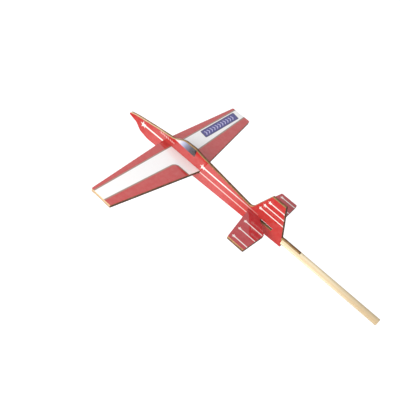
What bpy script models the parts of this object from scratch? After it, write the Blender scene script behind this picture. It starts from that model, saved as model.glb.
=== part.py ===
"""Sheet-wood stunt aeroplane on a round stick handle.

Frame: the origin is the centre of the handle's flat butt end. +X runs along
the handle towards the nose, +Y points to the aeroplane's left (port) wing tip
and +Z is up. The fuselage board stands on edge in the XZ plane, and the wing
and the tailplane lie flat and pass through slots in it.
"""

import math

import bmesh
import bpy
from mathutils import Matrix, Vector

MM = 0.001

# ---- sheet stock -----------------------------------------------------------
SHEET = 3.2 * MM          # finished sheet: wood board and a printed film on each face
FILM = 0.15 * MM          # printed film
BOND_LINE = 0.05 * MM     # between the film and its board
BOARD = SHEET - 2 * (FILM + BOND_LINE)
FIT = 0.3 * MM            # clearance round a piece that passes through a slot

# ---- handle ----------------------------------------------------------------
HANDLE_RADIUS = 3.175 * MM
HANDLE_LENGTH = 100.4 * MM
HANDLE_EDGE_ROUND = 0.35 * MM
SOCKET_DEPTH = 18.9 * MM
TONGUE_LENGTH = 18.5 * MM     # the last 0.4 mm of the socket stays empty
TONGUE_HALF_HEIGHT = 2.85 * MM

# ---- stations: distance of each feature behind the wing's leading edge ------
WING_NOSE_STATION = 241.4 * MM    # X of the wing's leading edge on the centre line
AXIS_BELOW_WING = 0.95 * MM       # the handle's axis runs this far below the wing's top

# ---- wing ------------------------------------------------------------------
WING_HALF_SPAN = 95.25 * MM
WING_ROOT_CHORD = 45.5 * MM
WING_TIP_LEADING = 6.7 * MM
WING_TIP_TRAILING = 29.0 * MM
WING_CORNER = 1.2 * MM

# ---- tailplane ---------------------------------------------------------------
TAIL_HALF_SPAN = 40.4 * MM
TAIL_TOP = 3.7 * MM               # above the wing's top
TAIL_ROOT_LEADING = 101.8 * MM
TAIL_TIP_LEADING = 109.5 * MM
TAIL_TIP_TRAILING = 127.0 * MM
TAIL_INNER_TRAILING = 128.5 * MM  # at the inboard end of each elevator
TAIL_NOTCH_OUTER = 13.6 * MM      # half width of the V cut-out at the trailing edge
TAIL_NOTCH_INNER = 2.4 * MM       # half width of its flat bottom
TAIL_NOTCH_BOTTOM = 115.4 * MM
TAIL_CORNER = 0.9 * MM

# ---- slots in the fuselage ---------------------------------------------------
TAIL_SLOT_END = 128.6 * MM        # long enough for the elevator's chord to pass through

ARC_STEP = math.radians(12)


def body_point(station, height):
    """(x, z) of a point given its station behind the wing's nose and its height over the wing's top."""
    return (WING_NOSE_STATION - station * MM, height * MM + AXIS_BELOW_WING)


def clear_scene():
    """Remove every object and leave an empty scene."""
    for obj in list(bpy.data.objects):
        bpy.data.objects.remove(obj, do_unlink=True)


def principled(name, colour, roughness, metallic=0.0, coat=0.0):
    """One Principled material."""
    material = bpy.data.materials.new(name)
    material.use_nodes = True
    shader = material.node_tree.nodes["Principled BSDF"]
    shader.inputs["Base Color"].default_value = (*colour, 1.0)
    shader.inputs["Roughness"].default_value = roughness
    shader.inputs["Metallic"].default_value = metallic
    shader.inputs["Coat Weight"].default_value = coat
    material.diffuse_color = (*colour, 1.0)
    return material


def wood_sheet_material(name):
    """Laser-cut sheet wood, darkened on its edges."""
    return principled(name, (0.56, 0.36, 0.19), 0.75)


def printed_film_material(name):
    """Glossy red film."""
    return principled(name, (0.66, 0.05, 0.06), 0.18, coat=0.6)


def dowel_material(name):
    """Pale sanded dowel."""
    return principled(name, (0.90, 0.74, 0.50), 0.6)


def rounded_corner(before, corner, after, radius):
    """Points of the arc of this radius that blends the two sides meeting at a corner."""
    corner = Vector(corner)
    to_before = (Vector(before) - corner).normalized()
    to_after = (Vector(after) - corner).normalized()
    opening = to_before.angle(to_after)
    turn = math.pi - opening
    if radius <= 0 or turn < math.radians(1):
        return [corner]
    reach = radius / math.tan(opening / 2)
    centre = corner + (to_before + to_after).normalized() * radius / math.sin(opening / 2)
    start = corner + to_before * reach - centre
    steps = max(2, math.ceil(turn / ARC_STEP))
    side = 1 if to_before.x * to_after.y - to_before.y * to_after.x < 0 else -1
    points = []
    for step in range(steps + 1):
        angle = side * turn * step / steps
        cos, sin = math.cos(angle), math.sin(angle)
        points.append(centre + Vector((start.x * cos - start.y * sin, start.x * sin + start.y * cos)))
    return points


def rounded_outline(corners):
    """A closed outline from (x, y, radius) corners, each turned into an arc."""
    outline = []
    count = len(corners)
    for index, (x, y, radius) in enumerate(corners):
        before = corners[index - 1][:2]
        after = corners[(index + 1) % count][:2]
        outline += rounded_corner(before, (x, y), after, radius)
    return outline


def prism(name, outline, thickness, material, upright, level=0.0):
    """A flat solid cut to an outline.

    An upright one stands in the XZ plane with its middle at Y = level; the
    others lie flat with their middle at Z = level.
    """
    mesh = bpy.data.meshes.new(name)
    build = bmesh.new()
    base = [build.verts.new((point.x, point.y, -thickness / 2)) for point in outline]
    face = build.faces.new(base)
    extruded = bmesh.ops.extrude_face_region(build, geom=[face])
    moved = [item for item in extruded["geom"] if isinstance(item, bmesh.types.BMVert)]
    bmesh.ops.translate(build, verts=moved, vec=(0, 0, thickness))
    bmesh.ops.recalc_face_normals(build, faces=build.faces)
    if upright:
        build.transform(Matrix.Rotation(math.radians(90), 4, "X"))
    build.to_mesh(mesh)
    build.free()
    mesh.materials.append(material)
    obj = bpy.data.objects.new(name, mesh)
    obj.location = (0, level, 0) if upright else (0, 0, level)
    bpy.context.scene.collection.objects.link(obj)
    return obj


def box_cutter(name, low, high):
    """A hidden box used only to cut."""
    mesh = bpy.data.meshes.new(name)
    build = bmesh.new()
    bmesh.ops.create_cube(build, size=1.0)
    size = [top - bottom for bottom, top in zip(low, high)]
    bmesh.ops.scale(build, verts=build.verts, vec=size)
    build.to_mesh(mesh)
    build.free()
    obj = bpy.data.objects.new(name, mesh)
    obj.location = [(bottom + top) / 2 for bottom, top in zip(low, high)]
    obj.hide_render = True
    obj.display_type = "WIRE"
    bpy.context.scene.collection.objects.link(obj)
    return obj


def cut(obj, cutter):
    """Cut one object with another by an exact Boolean."""
    modifier = obj.modifiers.new(cutter.name, "BOOLEAN")
    modifier.operation = "DIFFERENCE"
    modifier.solver = "EXACT"
    modifier.object = cutter


def fuselage_outline(with_tongue):
    """Side view of the fuselage: spinner, cowl, canopy, fin and, on the board, the tongue."""
    trailing_top = (129.6, 31.8)
    trailing_foot = (142.5, -7.1)
    slope = (trailing_foot[0] - trailing_top[0]) / (trailing_top[1] - trailing_foot[1])

    def trailing_edge(height):
        return (trailing_top[0] + (trailing_top[1] - height) * slope, height)

    side = [
        (-46.9, -2.35, 1.1),    # tip of the spinner
        (-36.0, 1.0, 45.0),     # top of the cowl
        (-14.0, 5.1, 60.0),
        (9.4, 8.95, 9.0),       # foot of the windscreen
        (20.5, 15.7, 12.0),     # canopy
        (33.5, 16.5, 12.0),
        (41.5, 14.7, 60.0),     # turtle deck
        (103.4, 6.65, 4.5),     # foot of the fin
        (115.2, 31.8, 0.8),
        (*trailing_top, 0.8),
    ]
    if with_tongue:
        axis = -AXIS_BELOW_WING / MM
        half = TONGUE_HALF_HEIGHT / MM
        tip = (WING_NOSE_STATION - HANDLE_LENGTH + TONGUE_LENGTH) / MM
        side += [
            (*trailing_edge(axis + half), 0.0),
            (tip, axis + half, 0.4),
            (tip, axis - half, 0.4),
            (*trailing_edge(axis - half), 0.0),
        ]
    side += [
        (*trailing_foot, 0.8),
        (-17.5, -13.3, 16.0),   # belly meets the chin
        (-27.9, -11.1, 7.0),
        (-34.2, -5.6, 4.0),     # chin meets the spinner
    ]
    corners = [(*body_point(station, height), radius * MM) for station, height, radius in side]
    return rounded_outline(corners)


def wing_outline():
    """Plan of the one-piece wing, which tapers to both tips."""
    left = [
        (WING_TIP_LEADING, WING_HALF_SPAN, WING_CORNER),
        (WING_TIP_TRAILING, WING_HALF_SPAN, WING_CORNER),
    ]
    right = [(station, -y, radius) for station, y, radius in reversed(left)]
    plan = [(0.0, 0.0, 0.0), *left, (WING_ROOT_CHORD, 0.0, 0.0), *right]
    return rounded_outline([(WING_NOSE_STATION - station, y, radius) for station, y, radius in plan])


def tailplane_outline():
    """Plan of the one-piece tailplane, with a V cut-out between the elevators."""
    left = [
        (TAIL_TIP_LEADING, TAIL_HALF_SPAN, TAIL_CORNER),
        (TAIL_TIP_TRAILING, TAIL_HALF_SPAN, TAIL_CORNER),
        (TAIL_INNER_TRAILING, TAIL_NOTCH_OUTER, 1.5 * MM),
        (TAIL_NOTCH_BOTTOM, TAIL_NOTCH_INNER, 0.5 * MM),
    ]
    right = [(station, -y, radius) for station, y, radius in reversed(left)]
    plan = [(TAIL_ROOT_LEADING, 0.0, 0.0), *left, *right]
    return rounded_outline([(WING_NOSE_STATION - station, y, radius) for station, y, radius in plan])


def slot_cutters():
    """The two slots through the fuselage, for the wing and for the tailplane."""
    wing_top = AXIS_BELOW_WING
    tail_top = AXIS_BELOW_WING + TAIL_TOP
    wing_slot = box_cutter(
        "wing_slot_cutter",
        (WING_NOSE_STATION - WING_ROOT_CHORD - FIT, -SHEET, wing_top - SHEET - FIT),
        (WING_NOSE_STATION + FIT, SHEET, wing_top + FIT),
    )
    tail_slot = box_cutter(
        "tailplane_slot_cutter",
        (WING_NOSE_STATION - TAIL_SLOT_END, -SHEET, tail_top - SHEET - FIT),
        (WING_NOSE_STATION - TAIL_ROOT_LEADING + FIT, SHEET, tail_top + FIT),
    )
    return wing_slot, tail_slot


def build_fuselage(pivot):
    """The upright board with its tongue, and the film on each side of it."""
    film_level = SHEET / 2 - FILM / 2
    board = prism(
        "fuselage_board",
        fuselage_outline(with_tongue=True),
        BOARD,
        wood_sheet_material("fuselage_board"),
        upright=True,
    )
    pieces = [board]
    for name, side in (("fuselage_film_left", 1), ("fuselage_film_right", -1)):
        outline = fuselage_outline(with_tongue=False)
        material = printed_film_material(name)
        pieces.append(prism(name, outline, FILM, material, upright=True, level=side * film_level))
    for cutter in slot_cutters():
        for piece in pieces:
            cut(piece, cutter)
    for piece in pieces:
        hang_from(piece, pivot)


def build_flat_surface(name, outline, top, pivot):
    """A flat board with film above and below, whose top is at this height."""
    middle = top - SHEET / 2
    film_offset = SHEET / 2 - FILM / 2
    board = prism(f"{name}_board", outline, BOARD, wood_sheet_material(f"{name}_board"), False, middle)
    hang_from(board, pivot)
    for face, side in (("top", 1), ("bottom", -1)):
        piece = f"{name}_film_{face}"
        level = middle + side * film_offset
        film = prism(piece, outline, FILM, printed_film_material(piece), False, level)
        hang_from(film, pivot)


def build_handle():
    """The round handle, with a socket sawn across its front end for the tongue."""
    turned = [
        (0.0, 0.0),
        (HANDLE_RADIUS - HANDLE_EDGE_ROUND, 0.0),
        (HANDLE_RADIUS, HANDLE_EDGE_ROUND),
        (HANDLE_RADIUS, HANDLE_LENGTH - HANDLE_EDGE_ROUND),
        (HANDLE_RADIUS - HANDLE_EDGE_ROUND, HANDLE_LENGTH),
        (0.0, HANDLE_LENGTH),
    ]
    mesh = bpy.data.meshes.new("handle_dowel")
    build = bmesh.new()
    verts = [build.verts.new((along, radius, 0.0)) for radius, along in turned]
    edges = [build.edges.new(pair) for pair in zip(verts, verts[1:])]
    bmesh.ops.spin(
        build,
        geom=verts + edges,
        cent=(0, 0, 0),
        axis=(1, 0, 0),
        angle=2 * math.pi,
        steps=48,
    )
    bmesh.ops.remove_doubles(build, verts=build.verts, dist=1e-7)
    bmesh.ops.recalc_face_normals(build, faces=build.faces)
    build.to_mesh(mesh)
    build.free()
    mesh.materials.append(dowel_material("handle_dowel"))
    mesh.shade_smooth()
    mesh.set_sharp_from_angle(angle=math.radians(25))
    handle = bpy.data.objects.new("handle_dowel", mesh)
    bpy.context.scene.collection.objects.link(handle)
    reach = 2 * HANDLE_RADIUS
    half_width = BOARD / 2 + FIT
    socket = box_cutter(
        "handle_socket_cutter",
        (HANDLE_LENGTH - SOCKET_DEPTH, -half_width, -reach),
        (HANDLE_LENGTH + reach, half_width, reach),
    )
    cut(handle, socket)


def joint_frame(name, location, parent=None):
    """An empty that marks where a piece slides on its neighbour."""
    empty = bpy.data.objects.new(name, None)
    empty.empty_display_size = 0.01
    bpy.context.scene.collection.objects.link(empty)
    empty.location = location
    if parent is not None:
        empty.parent = parent
        empty.matrix_parent_inverse = parent_world(parent).inverted()
    return empty


def parent_world(obj):
    """World matrix of an object placed only by location and a chain of parents."""
    bpy.context.view_layer.update()
    return obj.matrix_world.copy()


def hang_from(obj, pivot):
    """Parent a piece to an empty and keep it where it stands."""
    obj.parent = pivot
    obj.matrix_parent_inverse = parent_world(pivot).inverted()


def main():
    """Build the aeroplane and its handle."""
    clear_scene()
    build_handle()

    fuselage_pivot = joint_frame("fuselage_slide_axis", (HANDLE_LENGTH - SOCKET_DEPTH, 0, 0))
    build_fuselage(fuselage_pivot)

    wing_middle = AXIS_BELOW_WING - SHEET / 2
    wing_station = WING_NOSE_STATION - WING_ROOT_CHORD / 2
    wing_pivot = joint_frame("wing_slide_axis", (wing_station, 0, wing_middle), fuselage_pivot)
    build_flat_surface("wing", wing_outline(), AXIS_BELOW_WING, wing_pivot)

    tail_top = AXIS_BELOW_WING + TAIL_TOP
    tail_middle = tail_top - SHEET / 2
    tail_station = WING_NOSE_STATION - (TAIL_ROOT_LEADING + TAIL_NOTCH_BOTTOM) / 2
    tail_pivot = joint_frame("tailplane_slide_axis", (tail_station, 0, tail_middle), fuselage_pivot)
    build_flat_surface("tailplane", tailplane_outline(), tail_top, tail_pivot)


if __name__ == "__main__":
    main()
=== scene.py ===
"""Looks of the sheet-wood stunt aeroplane on its stick handle.

Lengths are in metres in the shared frame: the origin is the centre of the
handle's butt end, +X runs to the nose, +Y to the left wing tip and +Z up.
Printed artwork is laid out in millimetres: a station is the distance behind
the wing's leading edge, and a height is counted from the wing's top face.
"""

import logging
import math
from dataclasses import dataclass
from enum import Enum
from typing import Any, Optional, Sequence, Union

import bmesh
import bpy
from bmesh.types import BMesh, BMVert
from bpy.types import Material, NodeSocket, Object
from mathutils import Matrix, Vector


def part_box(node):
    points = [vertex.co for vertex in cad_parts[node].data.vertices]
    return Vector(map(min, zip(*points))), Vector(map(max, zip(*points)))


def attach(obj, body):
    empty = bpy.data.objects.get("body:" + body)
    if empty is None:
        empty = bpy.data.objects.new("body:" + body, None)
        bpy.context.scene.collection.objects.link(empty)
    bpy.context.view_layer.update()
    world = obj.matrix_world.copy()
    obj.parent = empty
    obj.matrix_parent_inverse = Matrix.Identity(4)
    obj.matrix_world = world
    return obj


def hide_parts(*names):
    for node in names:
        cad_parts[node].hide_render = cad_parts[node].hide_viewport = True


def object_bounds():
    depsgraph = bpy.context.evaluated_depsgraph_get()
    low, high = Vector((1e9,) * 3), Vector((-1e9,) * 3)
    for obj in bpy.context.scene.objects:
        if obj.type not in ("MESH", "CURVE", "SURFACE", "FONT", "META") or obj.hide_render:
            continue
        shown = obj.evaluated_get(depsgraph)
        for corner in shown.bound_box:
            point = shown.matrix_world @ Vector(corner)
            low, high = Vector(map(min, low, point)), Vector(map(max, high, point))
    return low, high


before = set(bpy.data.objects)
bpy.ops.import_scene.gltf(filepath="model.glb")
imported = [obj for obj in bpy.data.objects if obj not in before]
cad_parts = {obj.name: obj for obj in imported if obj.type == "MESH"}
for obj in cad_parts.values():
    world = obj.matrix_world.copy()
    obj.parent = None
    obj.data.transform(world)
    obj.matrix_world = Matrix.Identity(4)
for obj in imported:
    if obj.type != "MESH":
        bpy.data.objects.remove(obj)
CAD_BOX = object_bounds()

LOG = logging.getLogger("stick_aeroplane")
MM = 0.001

Pair = tuple[float, float]
Triple = tuple[float, float, float]
Colour = Triple
Corner = Triple


class Axis(Enum):
    """The axes of the shared frame."""

    ALONG = 0
    ACROSS = 1
    UP = 2


class Face(Enum):
    """Which way a printed face looks."""

    LEFT = "left"
    RIGHT = "right"
    TOP = "top"
    BOTTOM = "bottom"


# ---- Node drafting ----


@dataclass(frozen=True)
class Field:
    """A value that varies over a surface: the output of one node."""

    bench: "NodeBench"
    socket: NodeSocket

    def __add__(self, other: "Value") -> "Field":
        """Sum."""
        return self.bench.maths("ADD", self, other)

    def __sub__(self, other: "Value") -> "Field":
        """Difference."""
        return self.bench.maths("SUBTRACT", self, other)

    def __rsub__(self, other: float) -> "Field":
        """A number less this."""
        return self.bench.maths("SUBTRACT", other, self)

    def __mul__(self, other: "Value") -> "Field":
        """Product."""
        return self.bench.maths("MULTIPLY", self, other)

    def size(self) -> "Field":
        """The value without its sign."""
        return self.bench.maths("ABSOLUTE", self)

    def at_least(self, other: "Value") -> "Field":
        """The larger of two values."""
        return self.bench.maths("MAXIMUM", self, other)

    def at_most(self, other: "Value") -> "Field":
        """The smaller of two values."""
        return self.bench.maths("MINIMUM", self, other)


Value = Union[Field, float]
Paint = Union[Field, Colour]


class NodeBench:
    """One material, and the tools that lay its nodes out."""

    def __init__(self, name: str) -> None:
        """Start a material.

        Args:
            name: the material's name.
        """
        self.material = bpy.data.materials.new(name)
        self.material.use_nodes = True
        self.tree = self.material.node_tree
        self.shader = self.tree.nodes["Principled BSDF"]
        self.place = self.node("TexCoord", {}, "Object")

    def feed(self, socket: NodeSocket, value: Union[Value, Paint]) -> None:
        """Link a field to an input, or set a constant on it.

        Args:
            socket: the input.
            value: a field, a number or a colour.
        """
        if isinstance(value, Field):
            self.tree.links.new(value.socket, socket)
        elif isinstance(value, tuple) and socket.type == "RGBA":
            socket.default_value = (*value, 1.0)
        else:
            socket.default_value = value

    def node(
        self, kind: str, inputs: dict[Any, Any], output: Union[int, str] = 0, **settings: Any
    ) -> Field:
        """Add a node and feed it.

        Args:
            kind: its type, without ShaderNode.
            inputs: a value for each input, by place or name.
            output: place or name of the output that is wanted.
            settings: values of its properties.

        Returns:
            The output.
        """
        node = self.tree.nodes.new("ShaderNode" + kind)
        for name, setting in settings.items():
            setattr(node, name, setting)
        for key, value in inputs.items():
            self.feed(node.inputs[key], value)
        return Field(self, node.outputs[output])

    def maths(self, operation: str, *values: Value) -> Field:
        """One step of arithmetic on its inputs, in order."""
        return self.node("Math", dict(enumerate(values)), operation=operation)

    def axes(self, scale: float = 1.0) -> tuple[Field, Field, Field]:
        """The object's own coordinates.

        Args:
            scale: what each coordinate is multiplied by.

        Returns:
            X, Y and Z.
        """
        scaled = self.node("VectorMath", {0: self.place, "Scale": scale}, operation="SCALE")
        outputs = self.node("SeparateXYZ", {0: scaled}).socket.node.outputs
        return Field(self, outputs[0]), Field(self, outputs[1]), Field(self, outputs[2])

    def facing(self, axis: Axis) -> Field:
        """How far the surface looks along an axis, from -1 to 1."""
        return self.node("SeparateXYZ", {0: self.node("TexCoord", {}, "Normal")}, axis.value)

    def length(self, x: Field, y: Field) -> Field:
        """The length of the vector (x, y)."""
        pair = self.node("CombineXYZ", {0: x, 1: y})
        return self.node("VectorMath", {0: pair}, "Value", operation="LENGTH")

    def blend(self, share: Value, under: Paint, over: Paint) -> Field:
        """One colour laid over another by a share from 0 to 1."""
        return self.node("Mix", {0: share, 6: under, 7: over}, 2, data_type="RGBA")

    def spread(
        self, value: Value, low: float, high: float, start: float, end: float, soft: bool = False
    ) -> Field:
        """Map one range of values to another, and hold it there.

        Args:
            value: the input.
            low: input that gives start.
            high: input that gives end.
            start: output at low.
            end: output at high.
            soft: ease in and out instead of a straight line.

        Returns:
            The mapped value.
        """
        inputs = dict(enumerate((value, low, high, start, end)))
        easing = "SMOOTHSTEP" if soft else "LINEAR"
        return self.node("MapRange", inputs, interpolation_type=easing, clamp=True)

    def inside(self, distance: Field, blur: float) -> Field:
        """Turn a distance outside a shape's rim into ink, which fades over the blur's width."""
        return self.spread(distance, -blur / 2, blur / 2, 1.0, 0.0, soft=True)

    def ramp(self, value: Value, stops: Sequence[tuple[float, Colour]]) -> Field:
        """A run of colours.

        Args:
            value: where along the run, from 0 to 1.
            stops: (position, colour) pairs in order.

        Returns:
            The colour.
        """
        run = self.node("ValToRGB", {0: value}, "Color")
        elements = run.socket.node.color_ramp.elements
        while len(elements) < len(stops):
            elements.new(0.5)
        for element, (position, colour) in zip(elements, stops):
            element.position = position
            element.color = (*colour, 1.0)
        return run

    def noise(
        self, stretch: Sequence[float], detail: float = 3.0, rough: float = 0.5, warp: float = 0.0
    ) -> Field:
        """Soft random variation in the object's coordinates.

        Args:
            stretch: cycles per metre along X, Y and Z.
            detail: octaves.
            rough: how strong the finer octaves are.
            warp: how far the pattern is bent.

        Returns:
            Values near 0.5.
        """
        scaled = self.node("VectorMath", {0: self.place, 1: tuple(stretch)}, operation="MULTIPLY")
        shape = {"Scale": 1.0, "Detail": detail, "Roughness": rough, "Distortion": warp}
        return self.node("TexNoise", {**shape, "Vector": scaled})

    def relief(
        self, height: Field, depth: float, strength: float, below: Optional[Field] = None
    ) -> Field:
        """A bump.

        Args:
            height: the relief, from 0 to 1.
            depth: metres from 0 to 1.
            strength: how much of it shows.
            below: a bump that this one lies on.

        Returns:
            The bent normal.
        """
        inputs = {"Strength": strength, "Distance": depth, "Height": height}
        if below is not None:
            inputs["Normal"] = below
        return self.node("Bump", inputs)

    def dress(self, **inputs: Union[Value, Paint]) -> Material:
        """Set the shader's inputs.

        Args:
            inputs: each input's name, with _ for a space, and its value.

        Returns:
            The finished material.
        """
        for name, value in inputs.items():
            self.feed(self.shader.inputs[name.replace("_", " ")], value)
        return self.material


def cycles(rest: float, axis: Axis, along: float) -> list[float]:
    """Cycles per metre along X, Y and Z, where one axis has its own."""
    return [along if each is axis else rest for each in Axis]


# ---- Printed shapes, in millimetres ----


@dataclass(frozen=True)
class Star:
    """A five-pointed star."""

    centre: Pair
    reach: float
    waist: float = 0.44
    turn: float = 0.0

    def distance(self, u: Field, v: Field) -> Field:
        """Millimetres outside the star.

        Args:
            u: first printed coordinate.
            v: second printed coordinate.

        Returns:
            The distance, negative inside.
        """
        bench = u.bench
        across, up = u - self.centre[0], v - self.centre[1]
        radius = bench.length(across, up)
        fifth = math.pi / 5
        angle = bench.maths("ARCTAN2", up, across) - self.turn
        folded = bench.maths("PINGPONG", angle, fifth)
        valley = self.reach * self.waist
        rim = Vector((valley * math.cos(fifth) - self.reach, valley * math.sin(fifth)))
        normal = Vector((rim.y, -rim.x)).normalized()
        along = radius * bench.maths("COSINE", folded)
        aside = radius * bench.maths("SINE", folded)
        return along * normal.x + aside * normal.y - self.reach * normal.x


@dataclass(frozen=True)
class Stripe:
    """A straight stripe that may taper, from a start point to an end point."""

    start: Pair
    end: Pair
    width: Pair

    def distance(self, u: Field, v: Field) -> Field:
        """Millimetres outside the stripe.

        Args:
            u: coordinate that the stripe runs along.
            v: coordinate across it.

        Returns:
            The distance, negative inside.
        """
        (u0, v0), (u1, v1) = self.start, self.end
        slope = (v1 - v0) / (u1 - u0)
        middle = u * slope + (v0 - slope * u0)
        taper = (self.width[1] - self.width[0]) / 2 / (u1 - u0)
        half = u * taper + (self.width[0] / 2 - taper * u0)
        beside = (v - middle).size() - half
        return beside.at_least(u0 - u).at_least(u - u1)


@dataclass(frozen=True)
class Arrow:
    """A star with a stripe that trails from it, which is how each one is printed here."""

    star: Star
    tail: Pair
    width: Pair
    blur: float = 0.3

    def ink(self, u: Field, v: Field) -> Field:
        """How much ink the arrow leaves.

        Args:
            u: coordinate that the stripe runs along.
            v: coordinate across it.

        Returns:
            1 inside and 0 outside.
        """
        stripe = Stripe(self.star.centre, self.tail, self.width)
        nearest = self.star.distance(u, v).at_most(stripe.distance(u, v))
        return u.bench.inside(nearest, self.blur)


def rounded_corner(first: Field, second: Field, radius: float) -> Field:
    """Distance outside the corner where two edges meet, rounded.

    Args:
        first: distance outside the first edge.
        second: distance outside the second edge.
        radius: of the corner.

    Returns:
        The distance, negative inside.
    """
    a, b = first + radius, second + radius
    outside = a.bench.length(a.at_least(0.0), b.at_least(0.0))
    return outside + a.at_least(b).at_most(0.0) - radius


def rounded_panel(u: Field, v: Field, half: Pair, radius: float) -> Field:
    """Distance outside a rectangle of this half size, whose centre u and v count from."""
    return rounded_corner(u.size() - half[0], v.size() - half[1], radius)


# ---- Artwork ----


@dataclass(frozen=True)
class Inks:
    """The colours that the artwork is printed in, as linear light; the tailplane's red also holds painted
    shade.
    """

    red: Colour = (0.520, 0.028, 0.024)
    # painted shade: the tailplane's red is the wing's red darkened, standing in for the dimmer light at
    # the tail
    shaded_tail_red: Colour = (0.455, 0.024, 0.030)
    white: Colour = (0.94, 0.935, 0.925)
    outline: Colour = (0.30, 0.19, 0.135)
    star_white: Colour = (0.90, 0.82, 0.78)
    faded_stripe: Colour = (0.80, 0.50, 0.46)
    dash: Colour = (0.86, 0.52, 0.50)
    label_rim: Colour = (0.010, 0.005, 0.115)
    label_fill: Colour = (0.012, 0.007, 0.215)
    label_mark: Colour = (0.540, 0.510, 0.820)


INKS = Inks()
BACKSWEPT = math.radians(100)


@dataclass(frozen=True)
class Page:
    """A printed face, with its coordinates in millimetres."""

    bench: NodeBench
    face: Face
    station: Field
    left: Field
    height: Field


@dataclass(frozen=True)
class Datum:
    """Where stations and heights are counted from."""

    nose: float
    top: float

    @classmethod
    def from_frame(cls) -> "Datum":
        """The wing's leading edge and top face, as packed."""
        _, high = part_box("wing_film_top")
        return cls(nose=high.x, top=high.z)

    def page(self, bench: NodeBench, face: Face) -> Page:
        """The page that a face's artwork is printed on."""
        x, y, z = bench.axes(1.0 / MM)
        return Page(bench, face, self.nose / MM - x, y, z - self.top / MM)


@dataclass(frozen=True)
class Label:
    """A plain blue label with a row of chevrons, on the right wing."""

    centre: Pair = (15.6, 63.2)
    lean: float = 0.16
    half: Pair = (25.9, 4.5)
    corner: float = 1.3
    rim: float = 1.0
    row_half: Pair = (22.6, 2.3)
    row_corner: float = 0.4
    chevron_lean: float = 0.75
    chevron_pitch: float = 2.05
    chevron_bar_half: float = 0.62

    def paint(self, page: Page, under: Field) -> Field:
        """Print the label.

        Args:
            page: the wing's top face.
            under: the colour that it is printed on.

        Returns:
            The colour with the label on it.
        """
        bench = page.bench
        drop = page.station - self.centre[0]
        slid = page.left * -1.0 - self.centre[1] + drop * self.lean
        rim = rounded_panel(slid, drop, self.half, self.corner)
        colour = bench.blend(bench.inside(rim, blur=0.5), under, INKS.label_rim)
        colour = bench.blend(bench.inside(rim + self.rim, blur=0.4), colour, INKS.label_fill)
        bent = slid + drop.size() * self.chevron_lean
        bars = bench.maths("PINGPONG", bent, self.chevron_pitch) - self.chevron_bar_half
        row = rounded_panel(slid, drop, self.row_half, self.row_corner)
        return bench.blend(bench.inside(bars.at_least(row), blur=0.3), colour, INKS.label_mark)


@dataclass(frozen=True)
class WingArt:
    """Red wing with a white band that turns back along the root."""

    leading_band: float = 8.7
    leading_slope: float = 0.004
    band_outline: float = 1.2
    trailing_root: float = 28.1
    trailing_slope: float = 0.059
    inner_end: float = 14.6
    inner_radius: float = 4.2
    label: Label = Label()

    def paint(self, page: Page) -> Field:
        """Lay the wing's colours out.

        Args:
            page: the face to print.

        Returns:
            The colour of each point.
        """
        bench, station, aside = page.bench, page.station, page.left.size()
        leading = station - self.leading_band - aside * self.leading_slope
        trailing_edge = (self.trailing_root - aside * self.trailing_slope) - station
        trailing = rounded_corner(trailing_edge, self.inner_end - aside, self.inner_radius)
        red = leading.at_most(trailing)
        outline = bench.inside(red - self.band_outline, blur=0.5)
        colour = bench.blend(outline, INKS.white, INKS.outline)
        colour = bench.blend(bench.inside(red, blur=0.35), colour, INKS.red)
        return self.label.paint(page, colour) if page.face is Face.TOP else colour


@dataclass(frozen=True)
class TailplaneArt:
    """Red tailplane with three star stripes on each half, above and below."""

    stars: tuple[Pair, ...] = ((112.5, 36.0), (110.8, 25.6), (109.1, 15.2))
    reach: float = 1.95
    stripe_end: float = 127.6
    stripe_width: float = 1.05

    def paint(self, page: Page) -> Field:
        """Lay the tailplane's colours out.

        Args:
            page: the face to print.

        Returns:
            The colour of each point.
        """
        aside = page.left.size()
        # the base red here carries painted shade for the dimmer light at the tail
        colour: Paint = INKS.shaded_tail_red
        for centre in self.stars:
            star = Star(centre, self.reach, turn=math.pi)
            arrow = Arrow(star, (self.stripe_end, centre[1]), (self.stripe_width,) * 2)
            colour = page.bench.blend(arrow.ink(page.station, aside), colour, INKS.star_white)
        return colour


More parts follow.
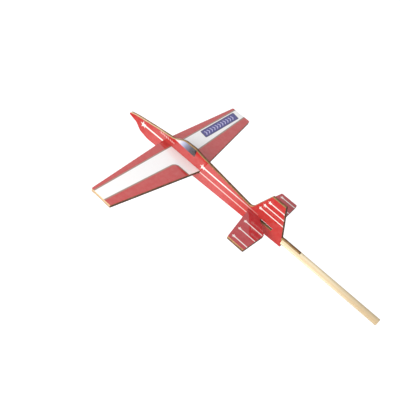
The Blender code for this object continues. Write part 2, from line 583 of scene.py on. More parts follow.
@dataclass(frozen=True)
class FuselageArt:
    """Red side with star stripes, a tinted canopy and a line of plain dashes, alike on both sides."""

    front: Arrow = Arrow(Star((-25.8, -2.0), 4.0, 0.36, BACKSWEPT), (0.0, -1.5), (1.8, 1.5), 0.35)
    low: Stripe = Stripe((44.0, -1.3), (103.0, -1.25), (1.3, 0.9))
    high: Arrow = Arrow(Star((46.6, 5.8), 3.3, 0.38, BACKSWEPT), (112.0, 5.3), (1.6, 1.0), 0.35)
    high_fade: tuple[float, float, float, float] = (70.0, 113.0, 1.0, 0.12)
    fin: tuple[Triple, ...] = ((116.0, 25.2, 132.5), (113.3, 19.4, 134.2), (111.0, 13.6, 136.4))
    fin_reach: float = 2.1
    fin_width: Pair = (1.1, 1.0)
    dash_centre: Pair = (2.6, 5.2)
    dash_half: Pair = (9.2, 0.85)
    dash_corner: float = 0.3
    dash_slant: float = 0.5
    dash_pitch: float = 1.15
    dash_bar_half: float = 0.55
    canopy_front: float = 6.8
    canopy_rear: float = 35.6
    canopy_rake: float = 0.25
    canopy_fade_end: float = 33.0
    canopy_corner: float = 1.6
    sill: Pair = (10.5, 0.055)
    canopy_stops: tuple[tuple[float, Colour], ...] = (
        (0.00, (0.88, 0.80, 0.77)),
        (0.24, (0.80, 0.78, 0.79)),
        (0.40, (0.40, 0.45, 0.66)),
        (0.56, (0.16, 0.175, 0.28)),
        (0.74, (0.025, 0.028, 0.050)),
        (0.90, (0.020, 0.014, 0.020)),
        (1.00, (0.050, 0.010, 0.012)),
    )

    def paint(self, page: Page) -> Field:
        """Lay the side's colours out.

        Args:
            page: the face to print.

        Returns:
            The colour of each point.
        """
        bench, place = page.bench, (page.station, page.height)
        low = bench.inside(self.low.distance(*place), blur=0.35)
        colour = bench.blend(low, INKS.red, INKS.faded_stripe)
        colour = bench.blend(self.front.ink(*place), colour, INKS.star_white)
        high = self.high.ink(*place) * bench.spread(page.station, *self.high_fade)
        colour = bench.blend(high, colour, INKS.star_white)
        for start, level, end in self.fin:
            star = Star((start, level), self.fin_reach, turn=BACKSWEPT)
            arrow = Arrow(star, (end, level), self.fin_width)
            colour = bench.blend(arrow.ink(*place), colour, INKS.star_white)
        return self.canopy(page, self.dashes(page, colour))

    def dashes(self, page: Page, under: Field) -> Field:
        """A line of plain slanted dashes below the canopy's foot.

        Args:
            page: the face to print.
            under: the colour that they are printed on.

        Returns:
            The colour with the dashes on it.
        """
        slant = page.station + page.height * self.dash_slant
        bars = page.bench.maths("PINGPONG", slant, self.dash_pitch) - self.dash_bar_half
        along, up = page.station - self.dash_centre[0], page.height - self.dash_centre[1]
        line = rounded_panel(along, up, self.dash_half, self.dash_corner)
        return page.bench.blend(page.bench.inside(bars.at_least(line), blur=0.3), under, INKS.dash)

    def canopy(self, page: Page, under: Field) -> Field:
        """Printed canopy glass, pale at the windscreen and dark behind.

        Args:
            page: the face to print.
            under: the colour that it is printed on.

        Returns:
            The colour with the canopy on it.
        """
        bench, (foot, slope) = page.bench, self.sill
        sill = (foot - page.station * slope) - page.height
        glass = rounded_corner(sill, page.station - self.canopy_rear, self.canopy_corner)
        raked = page.station - page.height * self.canopy_rake
        run = bench.spread(raked, self.canopy_front, self.canopy_fade_end, 0.0, 1.0)
        return bench.blend(bench.inside(glass, blur=0.4), under, bench.ramp(run, self.canopy_stops))


Art = Union[WingArt, TailplaneArt, FuselageArt]

# ---- Finishes ----


@dataclass(frozen=True)
class PrintedFilm:
    """Glossy printed film, with the wood's grain faintly lifting it."""

    roughness: Pair = (0.05, 0.09)
    gloss_roughness: float = 0.02
    mottle_cycles: float = 260.0
    mottle: Colour = (0.80, 0.62, 0.58)
    grain_cycles: Pair = (900.0, 38.0)
    grain_depth: float = 0.008 * MM
    peel_cycles: float = 1500.0
    peel_depth: float = 0.002 * MM
    lift: float = 0.25
    smear_cycles: Triple = (55.0, 70.0, 90.0)

    def material(self, name: str, art: Art, datum: Datum, face: Face, grain: Axis) -> Material:
        """Make the film for one face.

        Args:
            name: the material's name.
            art: what is printed on it.
            datum: where the artwork is counted from.
            face: the face that it covers.
            grain: the way that the wood's grain runs under it.

        Returns:
            The material.
        """
        bench = NodeBench(name)
        colour = art.paint(datum.page(bench, face))
        mottle = bench.noise((self.mottle_cycles,) * 3, detail=4.0)
        colour = bench.blend(bench.spread(mottle, 0.35, 0.75, 0.0, 0.05), colour, self.mottle)
        across, along = self.grain_cycles
        fibres = bench.noise(cycles(across, grain, along), detail=5.0, rough=0.55, warp=0.3)
        peel = bench.noise((self.peel_cycles,) * 3, detail=2.0)
        normal = bench.relief(fibres, self.grain_depth, self.lift)
        normal = bench.relief(peel, self.peel_depth, self.lift, below=normal)
        smear = bench.noise(self.smear_cycles, detail=4.0)
        return bench.dress(
            Base_Color=colour,
            Roughness=bench.spread(smear, 0.3, 0.7, *self.roughness),
            Specular_IOR_Level=0.5,
            Coat_Weight=1.0,
            Coat_Roughness=self.gloss_roughness,
            Coat_IOR=1.5,
            Normal=normal,
        )


@dataclass(frozen=True)
class ScorchedEdge:
    """Sheet wood cut by a hot beam: toasted where it enters, charred where it leaves, with painted shade
    on faces that look aft and painted light on faces that look sideways.
    """

    toasted: Colour = (0.60, 0.38, 0.15)
    browned: Colour = (0.27, 0.130, 0.052)
    charred: Colour = (0.075, 0.036, 0.020)
    # pale colour of the sanded nose, also laid on the tips as painted light
    sanded: Colour = (0.82, 0.62, 0.38)
    layered: Colour = (0.48, 0.30, 0.16)
    wander: float = 0.7
    wander_cycles: float = 240.0
    # darkens faces that look aft: partly real char, partly painted shade for the dimmer light from behind
    aft_char_and_shade: float = 0.38
    nose_spared: float = 0.22
    beam_cycles: Pair = (2600.0, 120.0)
    beam_depth: float = 0.05 * MM
    layer_cycles: Pair = (90.0, 2400.0)
    layer_depth: float = 0.03 * MM
    roughness: Pair = (0.62, 0.84)

    def material(
        self,
        name: str,
        through: Axis,
        low: float,
        high: float,
        painted_tip_light: float = 0.0,
        clean_nose: Optional[Pair] = None,
    ) -> Material:
        """Make the wood of one board.

        Args:
            name: the material's name.
            through: the axis that the beam ran along.
            low: where on it the beam left the board.
            high: where on it the beam entered.
            painted_tip_light: how much painted light lightens faces that look sideways, at the ends of the
                span.
            clean_nose: where along X the burn starts to fade and where it has faded.

        Returns:
            The material.
        """
        bench = NodeBench(name)
        place = bench.axes()
        share = bench.spread(place[through.value], low, high, 0.0, 1.0)
        wander = bench.noise((self.wander_cycles,) * 3)
        # faces that look aft are pushed towards char: partly real char, partly painted shade
        rear = (self.aft_char_and_shade - bench.facing(Axis.ALONG)).at_least(0.0) * self.aft_char_and_shade
        burn = share + (wander - 0.5) * self.wander - rear
        if clean_nose:
            ahead = bench.spread(place[Axis.ALONG.value], *clean_nose, 0.0, 1.0)
            burn = burn + ahead * self.nose_spared
        stops = ((0.02, self.charred), (0.22, self.browned), (0.40, self.browned), (0.62, self.toasted))
        colour = bench.ramp(burn, stops)
        beam = bench.noise(cycles(self.beam_cycles[0], through, self.beam_cycles[1]), rough=0.6)
        colour = bench.blend(bench.spread(beam, 0.35, 0.7, 0.45, 0.0), colour, self.charred)
        layers = bench.noise(cycles(self.layer_cycles[0], through, self.layer_cycles[1]), detail=2.0)
        colour = bench.blend(bench.spread(layers, 0.52, 0.66, 0.0, 0.35), colour, self.layered)
        if clean_nose:
            pale = ahead * bench.spread(burn, 0.45, 0.8, 0.0, 0.85)
            colour = bench.blend(pale, colour, self.sanded)
        # painted light: faces that look sideways, the span's tips, are lightened towards the pale colour
        if painted_tip_light:
            tip_light_share = bench.spread(bench.facing(Axis.ACROSS).size(), 0.8, 0.95, 0.0, painted_tip_light)
            colour = bench.blend(tip_light_share, colour, self.sanded)
        normal = bench.relief(beam, self.beam_depth, 0.5)
        normal = bench.relief(layers, self.layer_depth, 0.4, below=normal)
        return bench.dress(
            Base_Color=colour,
            Roughness=bench.spread(beam, 0.3, 0.7, *self.roughness),
            Specular_IOR_Level=0.3,
            Normal=normal,
        )


@dataclass(frozen=True)
class SandedDowel:
    """Pale sanded hardwood with fine straight grain and sawn ends, and painted shade that darkens it
    towards the butt.
    """

    pale: Colour = (0.85, 0.75, 0.53)
    warm: Colour = (0.69, 0.53, 0.32)
    pore: Colour = (0.44, 0.29, 0.16)
    # painted shade: a darker colour laid towards the butt, where less light falls
    painted_butt_shade: Colour = (0.50, 0.36, 0.20)
    butt_shade_reach: Pair = (0.004, 0.070)
    broad_cycles: Triple = (7.0, 420.0, 420.0)
    fine_cycles: Triple = (55.0, 2600.0, 2600.0)
    fleck_cycles: Triple = (240.0, 3600.0, 3600.0)
    kerf_cycles: Triple = (200.0, 300.0, 5200.0)
    heart: Pair = (-5.2 * MM, 6.1 * MM)
    ring_pitch: float = 0.42
    sawn_skin: Pair = (0.1 * MM, 0.4 * MM)
    grain_depth: float = 0.03 * MM
    kerf_depth: float = 0.04 * MM
    roughness: Pair = (0.51, 0.68)

    def material(self, length: float) -> Material:
        """Make the wood of the handle.

        Args:
            length: how long the handle is.

        Returns:
            The material.
        """
        bench = NodeBench("Handle_wood")
        x, y, z = bench.axes()
        broad = bench.noise(self.broad_cycles, warp=0.4)
        fine = bench.noise(self.fine_cycles, detail=4.0, rough=0.6)
        fleck = bench.noise(self.fleck_cycles, detail=2.0)
        colour = bench.blend(bench.spread(broad, 0.38, 0.68, 0.0, 0.85), self.pale, self.warm)
        colour = bench.blend(bench.spread(fine, 0.5, 0.75, 0.0, 0.30), colour, self.warm)
        colour = bench.blend(bench.spread(fleck, 0.66, 0.78, 0.0, 0.45), colour, self.pore)
        # painted shade towards the butt, with a slightly wavering edge
        butt_shade_x = x + (broad - 0.5) * 0.02
        butt_shade_share = bench.spread(butt_shade_x, *self.butt_shade_reach, 0.62, 0.0, soft=True)
        colour = bench.blend(butt_shade_share, colour, self.painted_butt_shade)
        skin, wood = self.sawn_skin
        butt = bench.spread(x, skin, wood, 1.0, 0.0)
        ends = butt.at_least(bench.spread(x, length - wood, length - skin, 0.0, 1.0))
        from_heart = bench.length(y - self.heart[0], z - self.heart[1])
        ring = bench.maths("PINGPONG", from_heart * (1.0 / MM) + fine * 0.25, self.ring_pitch)
        sawn = bench.blend(bench.spread(ring, 0.0, self.ring_pitch, 0.15, 0.75), self.pale, self.warm)
        colour = bench.blend(ends, colour, bench.blend(0.34, sawn, self.pore))
        kerf = bench.noise(self.kerf_cycles, detail=2.0)
        normal = bench.relief(fine * 0.6 + fleck * 0.4, self.grain_depth, 0.45)
        normal = bench.relief(kerf * ends, self.kerf_depth, 0.5, below=normal)
        return bench.dress(
            Base_Color=colour,
            Roughness=bench.spread(fine, 0.3, 0.7, *self.roughness),
            Specular_IOR_Level=0.2,
            Normal=normal,
        )


@dataclass(frozen=True)
class StudioPaper:
    """Plain white backdrop paper."""

    tone: Colour = (0.93, 0.93, 0.93)
    tooth: Colour = (0.90, 0.90, 0.89)
    tooth_cycles: float = 400.0
    glow: float = 0.42

    def material(self) -> Material:
        """Make the paper.

        Returns:
            The material.
        """
        bench = NodeBench("Studio_paper")
        tooth = bench.noise((self.tooth_cycles,) * 3)
        return bench.dress(
            Base_Color=bench.blend(tooth * 0.02, self.tone, self.tooth),
            Roughness=0.95,
            Specular_IOR_Level=0.1,
            Emission_Color=(1.0, 1.0, 1.0),
            Emission_Strength=self.glow,
        )


@dataclass(frozen=True)
class ReflectionCard:
    """A grey card with a soft lighter patch, seen only in the gloss of the film."""

    grey: float = 0.30
    light: float = 1.05
    nose_share: float = 0.06
    patch: tuple[float, float, float, float] = (0.228, 0.29, 0.39, 0.508)

    def material(self) -> Material:
        """Make the card's surface.

        Returns:
            The material.
        """
        bench = NodeBench("Card_surface")
        x, _, _ = bench.axes()
        fades_in, lit, still_lit, fades_out = self.patch
        rise = bench.spread(x, fades_in, lit, self.grey, self.light, soft=True)
        fall = bench.spread(x, still_lit, fades_out, 1.0, self.nose_share, soft=True)
        return bench.dress(
            Base_Color=(0.0, 0.0, 0.0),
            Specular_IOR_Level=0.0,
            Roughness=1.0,
            Emission_Color=(1.0, 1.0, 1.0),
            Emission_Strength=rise * fall,
        )


FILM_FINISH = PrintedFilm()
BOARD_FINISH = ScorchedEdge()
DOWEL_FINISH = SandedDowel()
PAPER_FINISH = StudioPaper()
CARD_FINISH = ReflectionCard()


# ---- Meshes ----

ARC_STEP = math.radians(4)
STRAIGHT_TURN = math.radians(1)
EASED_ANGLE = math.radians(35)
SHARP_ANGLE = math.radians(32)
SQUARE_TO_FRAME = 0.9999


def corner_arc(before: Vector, corner: Vector, after: Vector, radius: float) -> list[Vector]:
    """Round the corner between two straight sides.

    Args:
        before: the point before the corner.
        corner: where the two sides meet.
        after: the point after it.
        radius: of the arc.

    Returns:
        The arc's points, or the corner alone where it stays sharp.
    """
    to_before = (before - corner).normalized()
    to_after = (after - corner).normalized()
    opening = to_before.angle(to_after)
    turn = math.pi - opening
    if radius <= 0 or turn < STRAIGHT_TURN:
        return [corner]
    reach = radius / math.tan(opening / 2)
    centre = corner + (to_before + to_after).normalized() * radius / math.sin(opening / 2)
    spoke = corner + to_before * reach - centre
    steps = max(2, math.ceil(turn / ARC_STEP))
    side = 1 if to_before.x * to_after.y - to_before.y * to_after.x < 0 else -1
    turns = (side * turn * step / steps for step in range(steps + 1))
    return [centre + Matrix.Rotation(angle, 2) @ spoke for angle in turns]


def rounded_outline(corners: Sequence[Corner], nose: float, base: float = 0.0) -> list[Vector]:
    """Close an outline through rounded corners.

    Args:
        corners: (station, height or distance aside, radius) in millimetres, in order.
        nose: metres along X where stations are counted from.
        base: metres that heights are counted from.

    Returns:
        The outline's points in metres.
    """
    points = [Vector((nose - station * MM, base + level * MM)) for station, level, _ in corners]
    outline: list[Vector] = []
    for index, (_, _, radius) in enumerate(corners):
        following = points[(index + 1) % len(points)]
        outline += corner_arc(points[index - 1], points[index], following, radius * MM)
    return outline


def placed(name: str, build: BMesh) -> Object:
    """Put a finished mesh in the scene.

    Args:
        name: the object's name.
        build: its mesh, which is freed.

    Returns:
        The object.
    """
    mesh = bpy.data.meshes.new(name)
    bmesh.ops.recalc_face_normals(build, faces=build.faces)
    build.to_mesh(mesh)
    build.free()
    obj = bpy.data.objects.new(name, mesh)
    bpy.context.scene.collection.objects.link(obj)
    return obj


def skin(build: BMesh, rings: Sequence[Sequence[BMVert]]) -> None:
    """Join closed rings of points with faces, and close both ends.

    Args:
        build: the mesh that they are in.
        rings: as many points each, in order.
    """
    for ring, following in zip(rings, rings[1:]):
        for index in range(len(ring)):
            build.faces.new((ring[index - 1], ring[index], following[index], following[index - 1]))
    build.faces.new(rings[0])
    build.faces.new(rings[-1])


def slab(name: str, outline: Sequence[Vector], low: float, high: float, upright: bool = False) -> Object:
    """A flat solid between two parallel planes.

    Args:
        name: the object's name.
        outline: its shape.
        low: where it starts, along Y if it is upright and along Z if not.
        high: where it ends.
        upright: whether the outline is (x, z) or (x, y).

    Returns:
        The object.
    """
    build = bmesh.new()
    rings = []
    for level in (low, high):
        points = [(p.x, level, p.y) if upright else (p.x, p.y, level) for p in outline]
        rings.append([build.verts.new(point) for point in points])
    skin(build, rings)
    return placed(name, build)


def block(name: str, low: Sequence[float], high: Sequence[float]) -> Object:
    """A box that is only cut with, from its lowest corner to its highest."""
    plan = [(low[0], low[1]), (high[0], low[1]), (high[0], high[1]), (low[0], high[1])]
    return slab(name, [Vector(point) for point in plan], low[2], high[2])


def level_sheet(name: str, half: Pair, centre: Sequence[float], cells: int) -> Object:
    """A flat level sheet for the studio.

    Args:
        name: the object's name.
        half: half its size along X and Y.
        centre: its middle.
        cells: faces along each side.

    Returns:
        The object.
    """
    build = bmesh.new()
    bmesh.ops.create_grid(build, x_segments=cells, y_segments=cells, size=1.0)
    bmesh.ops.scale(build, verts=build.verts, vec=(*half, 1.0))
    bmesh.ops.translate(build, verts=build.verts, vec=centre)
    return placed(name, build)


def bake_modifiers(obj: Object) -> None:
    """Make an object's modifiers part of its mesh.

    Args:
        obj: the object.
    """
    graph = bpy.context.evaluated_depsgraph_get()
    made = bpy.data.meshes.new_from_object(obj.evaluated_get(graph))
    obj.modifiers.clear()
    spare, obj.data = obj.data, made
    bpy.data.meshes.remove(spare)
    made.name = obj.name


def cut_away(obj: Object, cutters: Sequence[Object]) -> None:
    """Cut an object with others.

    Args:
        obj: the object.
        cutters: what is taken away, which stay in the scene.
    """
    for cutter in cutters:
        step = obj.modifiers.new(cutter.name, "BOOLEAN")
        step.operation = "DIFFERENCE"
        step.solver = "EXACT"
        step.object = cutter
    bake_modifiers(obj)


def ease_edges(obj: Object, width: float) -> None:
    """Take the sharpness off an object's edges and shade its curves smooth.

    Args:
        obj: the object.
        width: of the rounding.
    """
    step = obj.modifiers.new("eased", "BEVEL")
    step.width = width
    step.segments = 2
    step.limit_method = "ANGLE"
    step.angle_limit = EASED_ANGLE
    bake_modifiers(obj)
    shade_true(obj)


def shade_true(obj: Object) -> None:
    """Shade curves smooth and keep every face that lies square to the frame flat.

    Args:
        obj: the object.
    """
    mesh = obj.data
    mesh.shade_smooth()
    mesh.set_sharp_from_angle(angle=SHARP_ANGLE)
    for face in mesh.polygons:
        face.use_smooth = max(abs(part) for part in face.normal) < SQUARE_TO_FRAME


@dataclass
class Piece:
    """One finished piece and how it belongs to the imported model."""

    obj: Object
    body: str
    node: str

    def fit(self, material: Material) -> "Piece":
        """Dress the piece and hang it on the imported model.

        Args:
            material: its finish.

        Returns:
            The piece itself.
        """
        self.obj.data.materials.clear()
        self.obj.data.materials.append(material)
        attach(self.obj, self.body)
        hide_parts(self.node)
        return self


# ---- Sub-assemblies ----


@dataclass
class SheetPart:
    """A board with a printed film on each face, which lies flat unless it is told otherwise."""

    name: str
    datum: Datum
    art: Art
    through: Axis = Axis.UP
    grain: Axis = Axis.ACROSS
    faces: tuple[Face, Face] = (Face.TOP, Face.BOTTOM)
    painted_tip_light: float = 0.0
    clean_nose: Optional[Pair] = None
    eased_film: float = 0.07 * MM
    eased_board: float = 0.05 * MM

    def outline(self) -> list[Vector]:
        """The outline of the films; each sub-assembly gives its own."""
        raise NotImplementedError

    def board_outline(self) -> list[Vector]:
        """The outline of the board: the same, unless something sticks out of the films."""
        return self.outline()

    def cutters(self) -> list[Object]:
        """Blocks that are cut away: none, unless it has slots."""
        return []

    def layer(self, kind: str, low: float, high: float, cutters: list[Object]) -> Piece:
        """Make the board or a film.

        Args:
            kind: what its node's name ends in.
            low: the plane where it starts.
            high: the plane where it ends.
            cutters: what is cut away from it.

        Returns:
            The piece, not yet dressed.
        """
        is_board = kind == "board"
        outline = self.board_outline() if is_board else self.outline()
        name = f"{self.name.capitalize()}_{kind}"
        obj = slab(name, outline, low, high, upright=self.through is Axis.ACROSS)
        cut_away(obj, cutters)
        ease_edges(obj, self.eased_board if is_board else self.eased_film)
        return Piece(obj, self.name, f"{self.name}_{kind}")

    def build(self) -> list[Piece]:
        """Make and dress the board and its two films, which are taken down to the wood.

        Returns:
            The pieces.
        """
        low, high = (corner[self.through.value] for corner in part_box(f"{self.name}_board"))
        above, below = (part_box(f"{self.name}_film_{face.value}") for face in self.faces)
        planes = ((high, above[1][self.through.value]), (below[0][self.through.value], low))
        cutters = self.cutters()
        wood = BOARD_FINISH.material(
            f"{self.name.capitalize()}_wood", self.through, low, high, self.painted_tip_light, self.clean_nose
        )
        pieces = [self.layer("board", low, high, cutters).fit(wood)]
        for face, (start, end) in zip(self.faces, planes):
            piece = self.layer(f"film_{face.value}", start, end, cutters)
            film = FILM_FINISH.material(piece.obj.name, self.art, self.datum, face, self.grain)
            pieces.append(piece.fit(film))
        for cutter in cutters:
            bpy.data.objects.remove(cutter)
        return pieces


@dataclass
class Fuselage(SheetPart):
    """The upright board with the film on its sides, the two slots and the tongue."""

    art: FuselageArt = FuselageArt()
    through: Axis = Axis.ACROSS
    grain: Axis = Axis.ALONG
    faces: tuple[Face, Face] = (Face.LEFT, Face.RIGHT)
    clean_nose: Optional[Pair] = (0.222, 0.252)
    slot_fit: float = 0.1 * MM
    slot_half: float = 10 * MM
    tail_slot_end: float = 128.6
    tongue_half: float = 2.85
    tongue_round: float = 0.4
    side: tuple[Corner, ...] = (
        (-46.9, -2.35, 1.1),
        (-36.0, 1.0, 45.0),
        (-14.0, 5.1, 60.0),
        (9.4, 8.95, 9.0),
        (20.5, 15.7, 12.0),
        (33.5, 16.5, 12.0),
        (41.5, 14.7, 60.0),
        (103.4, 6.65, 4.5),
        (115.2, 31.8, 0.8),
        (129.6, 31.8, 0.8),
    )
    belly: tuple[Corner, ...] = (
        (142.5, -7.1, 0.8),
        (-17.5, -13.3, 16.0),
        (-27.9, -11.1, 7.0),
        (-34.2, -5.6, 4.0),
    )

    def outline(self, extra: Sequence[Corner] = ()) -> list[Vector]:
        """The side view as (x, z), with any extra corners after the top of the rudder."""
        return rounded_outline((*self.side, *extra, *self.belly), self.datum.nose, self.datum.top)

    def board_outline(self) -> list[Vector]:
        """The side view with the tongue that enters the handle.

        Returns:
            Its points as (x, z).
        """
        (top, high, _), (foot, deep, _) = self.side[-1], self.belly[0]
        slope = (foot - top) / (high - deep)
        axis = -self.datum.top / MM
        tip = (self.datum.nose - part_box("fuselage_board")[0].x) / MM
        upper, lower = axis + self.tongue_half, axis - self.tongue_half
        tongue = (
            (top + (high - upper) * slope, upper, 0.0),
            (tip, upper, self.tongue_round),
            (tip, lower, self.tongue_round),
            (top + (high - lower) * slope, lower, 0.0),
        )
        return self.outline(tongue)

    def cutters(self) -> list[Object]:
        """The two slots, as blocks that are cut away.

        Returns:
            The blocks.
        """
        made = []
        for other, rear in (("wing", None), ("tailplane", self.tail_slot_end)):
            low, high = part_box(f"{other}_film_bottom")[0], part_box(f"{other}_film_top")[1]
            back = low.x - self.slot_fit if rear is None else self.datum.nose - rear * MM
            near = (back, -self.slot_half, low.z - self.slot_fit)
            far = (high.x + self.slot_fit, self.slot_half, high.z + self.slot_fit)
            made.append(block(f"{other}_slot", near, far))
        return made


def mirrored_plan(
    nose: float, left: Sequence[Corner], front: float, back: Optional[float] = None
) -> list[Vector]:
    """Close a plan from its left half.

    Args:
        nose: metres along X where stations are counted from.
        left: (station, distance aside, radius) corners of the left half, front to back.
        front: station of the corner on the centre line at the front.
        back: station of the one at the back, if there is one.

    Returns:
        The plan's points as (x, y).
    """
    right = [(station, -aside, radius) for station, aside, radius in reversed(left)]
    tail = [] if back is None else [(back, 0.0, 0.0)]
    return rounded_outline([(front, 0.0, 0.0), *left, *tail, *right], nose)


@dataclass
class Wing(SheetPart):
    """The one-piece tapered wing."""

    art: WingArt = WingArt()
    # painted light on the cut faces of the wing tips
    painted_tip_light: float = 0.5
    tip_leading: float = 6.7
    tip_trailing: float = 29.0
    corner: float = 1.2

    def outline(self) -> list[Vector]:
        """The wing's plan.

        Returns:
            Its points as (x, y).
        """
        low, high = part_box("wing_board")
        span, chord = high.y / MM, (high.x - low.x) / MM
        left = [(station, span, self.corner) for station in (self.tip_leading, self.tip_trailing)]
        return mirrored_plan(self.datum.nose, left, 0.0, chord)


@dataclass
class Tailplane(SheetPart):
    """The one-piece tailplane with a V cut-out between the elevators."""

    art: TailplaneArt = TailplaneArt()
    root_leading: float = 101.8
    half_plan: tuple[Corner, ...] = (
        (109.5, 40.4, 0.9),
        (127.0, 40.4, 0.9),
        (128.5, 13.6, 1.5),
        (115.4, 2.4, 0.5),
    )

    def outline(self) -> list[Vector]:
        """The tailplane's plan as (x, y)."""
        return mirrored_plan(self.datum.nose, self.half_plan, self.root_leading)


@dataclass
class Handle:
    """The round stick with a saw cut across its front end for the tongue."""

    name: str
    edge_round: float = 0.35 * MM
    edge_steps: int = 4
    sides: int = 96
    rings: int = 40
    waver: float = 0.025 * MM
    wave_bow: float = 1.7
    slow_waves: float = 61.0
    quick_waves: float = 143.0
    cut_half: float = 1.7 * MM
    cut_depth: float = 18.9 * MM

    def profile(self, radius: float, length: float) -> list[Pair]:
        """The half section, with both ends' edges rounded.

        Args:
            radius: of the stick.
            length: of the stick.

        Returns:
            (x, distance from the axis) of each ring.
        """
        angles = [math.pi / 2 * step / self.edge_steps for step in range(self.edge_steps, -1, -1)]
        edge = [(self.edge_round * (1 - math.sin(a)), self.edge_round * (1 - math.cos(a))) for a in angles]
        butt = [(along, radius - inset) for along, inset in edge]
        straight = [(length * step / self.rings, radius) for step in range(1, self.rings)]
        front = [(length - along, size) for along, size in reversed(butt)]
        return [*butt, *straight, *front]

    def turned(self, radius: float, length: float) -> Object:
        """The stick before it is sawn, very slightly uneven as a sanded one is.

        Args:
            radius: of the stick.
            length: of the stick.

        Returns:
            The object.
        """
        build = bmesh.new()
        rings = []
        for along, size in self.profile(radius, length):
            ring = []
            for side in range(self.sides):
                angle = 2 * math.pi * side / self.sides
                slow = math.sin(along * self.slow_waves + math.cos(angle) * self.wave_bow)
                quick = math.sin(along * self.quick_waves + 2 * angle)
                reach = size - self.waver * (0.5 + 0.25 * (slow + quick))
                ring.append(build.verts.new((along, reach * math.cos(angle), reach * math.sin(angle))))
            rings.append(ring)
        skin(build, rings)
        return placed("Handle_stick", build)

    def build(self) -> list[Piece]:
        """Make and dress the stick.

        Returns:
            The piece.
        """
        low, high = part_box("handle_dowel")
        length, radius = high.x - low.x, high.z
        stick = self.turned(radius, length)
        clear = 2 * radius
        near = (length - self.cut_depth, -self.cut_half, -clear)
        kerf = block("kerf", near, (length + clear, self.cut_half, clear))
        cut_away(stick, [kerf])
        bpy.data.objects.remove(kerf)
        shade_true(stick)
        return [Piece(stick, self.name, "handle_dowel").fit(DOWEL_FINISH.material(length))]


# ---- Studio ----


def heading(azimuth: float, elevation: float) -> Vector:
    """The unit vector towards a viewer so many degrees round from -Y and above the horizon."""
    a, e = math.radians(azimuth), math.radians(elevation)
    return Vector((math.sin(a) * math.cos(e), -math.cos(a) * math.cos(e), math.sin(e)))


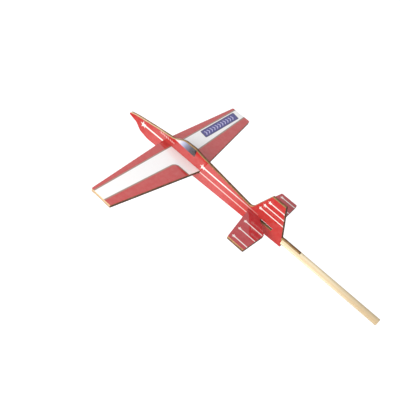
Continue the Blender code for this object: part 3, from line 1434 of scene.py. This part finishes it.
@dataclass
class Studio:
    """White surroundings, a pale floor, one broad side light and the camera."""

    sky_tint: Colour = (0.985, 0.995, 1.03)
    sky_dim: float = 0.42
    sky_bright: float = 1.12
    sky_reach: float = 0.42
    floor_drop: float = 0.45
    floor_half: float = 6.0
    card_half: Pair = (4.0, 2.0)
    card_place: Triple = (0.3, 2.0, -0.30)
    azimuth: float = 203.97
    elevation: float = 45.41
    roll: float = 23.66
    distance: float = 0.52208
    lens: float = 55.27
    film_width: float = 36.0
    clip: Pair = (0.01, 50.0)
    target: Triple = (0.17325, 0.02677, 0.0)
    light_heading: Pair = (174.0, 27.0)
    light_distance: float = 0.60
    light_side: float = 0.36
    light_power: float = 2.95
    light_tint: Colour = (1.0, 0.965, 0.91)

    def surroundings(self) -> None:
        """A white room that lights more from ahead of the nose, before a plain white backdrop."""
        world = bpy.data.worlds.new("White_room")
        world.use_nodes = True
        nodes, link = world.node_tree.nodes, world.node_tree.links.new
        room = nodes["Background"]
        room.inputs["Color"].default_value = (*self.sky_tint, 1.0)
        ahead = nodes.new("ShaderNodeSeparateXYZ")
        link(nodes.new("ShaderNodeTexCoord").outputs["Generated"], ahead.inputs[0])
        rising = nodes.new("ShaderNodeMapRange")
        for socket, value in zip(rising.inputs[1:5], (0.0, self.sky_reach, self.sky_dim, self.sky_bright)):
            socket.default_value = value
        link(ahead.outputs["X"], rising.inputs["Value"])
        seen = nodes.new("ShaderNodeMix")
        link(nodes.new("ShaderNodeLightPath").outputs["Is Camera Ray"], seen.inputs[0])
        link(rising.outputs["Result"], seen.inputs[2])
        seen.inputs[3].default_value = self.sky_bright
        link(seen.outputs[0], room.inputs["Strength"])
        bpy.context.scene.world = world
        bpy.context.scene.view_settings.view_transform = "Standard"

    def floor(self) -> None:
        """A wide pale floor well below the aeroplane."""
        low, high = CAD_BOX
        middle = (low + high) / 2
        centre = (middle.x, middle.y, low.z - self.floor_drop)
        floor = level_sheet("Studio_floor", (self.floor_half,) * 2, centre, cells=8)
        floor.data.materials.append(PAPER_FINISH.material())

    def cards(self) -> None:
        """A card low on each side, which calms the reflections in the fuselage film."""
        finish = CARD_FINISH.material()
        x, y, z = self.card_place
        for name, aside in (("Card_left", y), ("Card_right", -y)):
            card = level_sheet(name, self.card_half, (x, aside, z), cells=2)
            card.data.materials.append(finish)
            card.visible_camera = False
            card.visible_diffuse = False
            card.visible_transmission = False
            card.visible_volume_scatter = False
            card.visible_shadow = False

    def camera(self) -> None:
        """The camera, rolled so that the aeroplane climbs across the frame."""
        lens = bpy.data.cameras.new("Camera")
        lens.sensor_width = self.film_width
        lens.lens = self.lens
        lens.clip_start, lens.clip_end = self.clip
        camera = bpy.data.objects.new("Camera", lens)
        back = heading(self.azimuth, self.elevation)
        level = Vector((0, 0, 1)).cross(back).normalized()
        rise = back.cross(level)
        roll = math.radians(self.roll)
        right = level * math.cos(roll) + rise * math.sin(roll)
        turned = Matrix((right, back.cross(right), back)).transposed()
        place = Matrix.Translation(Vector(self.target) + back * self.distance)
        camera.matrix_world = place @ turned.to_4x4()
        bpy.context.scene.collection.objects.link(camera)
        bpy.context.scene.camera = camera

    def softbox(self) -> None:
        """One square of soft light aimed at the aeroplane, which its gloss doesn't show."""
        light = bpy.data.lights.new("Side_light", "AREA")
        light.shape = "SQUARE"
        light.size = self.light_side
        light.energy = self.light_power
        light.color = self.light_tint
        obj = bpy.data.objects.new("Side_light", light)
        away = heading(*self.light_heading)
        obj.location = Vector(self.target) + away * self.light_distance
        obj.rotation_mode = "QUATERNION"
        obj.rotation_quaternion = away.to_track_quat("Z", "Y")
        obj.visible_glossy = False
        bpy.context.scene.collection.objects.link(obj)

    def build(self) -> None:
        """Set the whole studio up."""
        self.surroundings()
        self.floor()
        self.cards()
        self.camera()
        self.softbox()


def main() -> None:
    """Build the aeroplane, its handle and the studio, in that order."""
    logging.basicConfig(level=logging.INFO, format="%(name)s: %(message)s")
    datum = Datum.from_frame()
    assemblies = (
        Fuselage("fuselage", datum),
        Wing("wing", datum),
        Tailplane("tailplane", datum),
        Handle("handle"),
    )
    for assembly in assemblies:
        for piece in assembly.build():
            faces = len(piece.obj.data.polygons)
            LOG.info("%s: %d faces, on %s, for %s", piece.obj.name, faces, piece.body, piece.node)
    Studio().build()
    LOG.info("studio ready")


if __name__ == "__main__":
    main()
